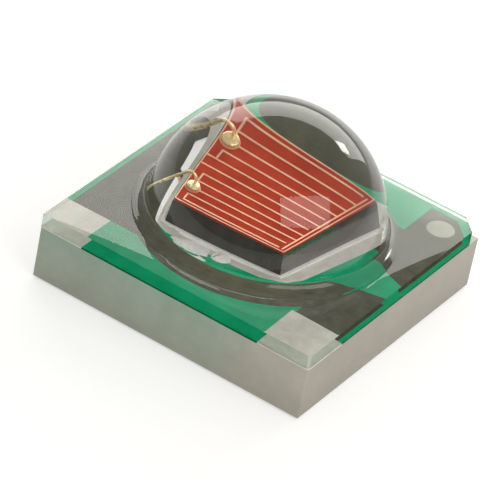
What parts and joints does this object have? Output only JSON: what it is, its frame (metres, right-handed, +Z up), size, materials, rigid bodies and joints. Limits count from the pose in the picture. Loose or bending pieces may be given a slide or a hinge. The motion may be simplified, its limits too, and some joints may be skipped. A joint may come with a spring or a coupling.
{
  "type": "smd led",
  "caption": "Surface-mount power LED: square ceramic package, clear moulded dome, red emitter chip with gold contact fingers and two bond wires, solder pads underneath.",
  "frame": {"origin": "centre of the solder pads' underside, on the dome's axis", "axes": "+Z up through the dome; the long solder pads run along Y; the anode pad is on the -X side and the cathode pad on the +X side"},
  "size_m": [0.0034, 0.0034, 0.0022],
  "materials": {
    "ceramic": "matt fired ceramic, fine grain, slightly translucent",
    "solder_gold": "thin gold flash over nickel, satin",
    "via_metal": "plated through the hole, matt",
    "trace_metal": "dull grey printed metal, fine pitting",
    "silver_pad": "bare silver plating, matt",
    "solder_mask": "green lacquer under the clear layer",
    "solder": "bright, lumpy solder",
    "chip_body": "dark sawn semiconductor, faint vertical saw marks",
    "emitter_red": "red-orange semiconductor film with a fine etched texture",
    "contact_gold": "thin pale gold film",
    "bond_gold": "drawn gold wire",
    "clear_silicone": "clear moulded silicone, glossy"
  },
  "bodies": {
    "root": {"ceramic_substrate": "ceramic", "anode_solder_pad": "solder_gold", "thermal_solder_pad": "solder_gold", "cathode_solder_pad": "solder_gold", "anode_via_front": "via_metal", "anode_via_back": "via_metal", "cathode_via_front": "via_metal", "cathode_via_back": "via_metal", "anode_trace": "trace_metal", "front_trace": "trace_metal", "cathode_trace": "trace_metal", "die_pad": "silver_pad", "left_corner_pad": "silver_pad", "front_corner_pad": "silver_pad", "polarity_mark": "silver_pad", "solder_mask": "solder_mask", "die_solder": "solder", "chip_carrier": "chip_body", "emitter_layer": "emitter_red", "contact_grid": "contact_gold", "front_bond_wire": "bond_gold", "back_bond_wire": "bond_gold", "clear_lens": "clear_silicone"}
  },
  "joints": []
}
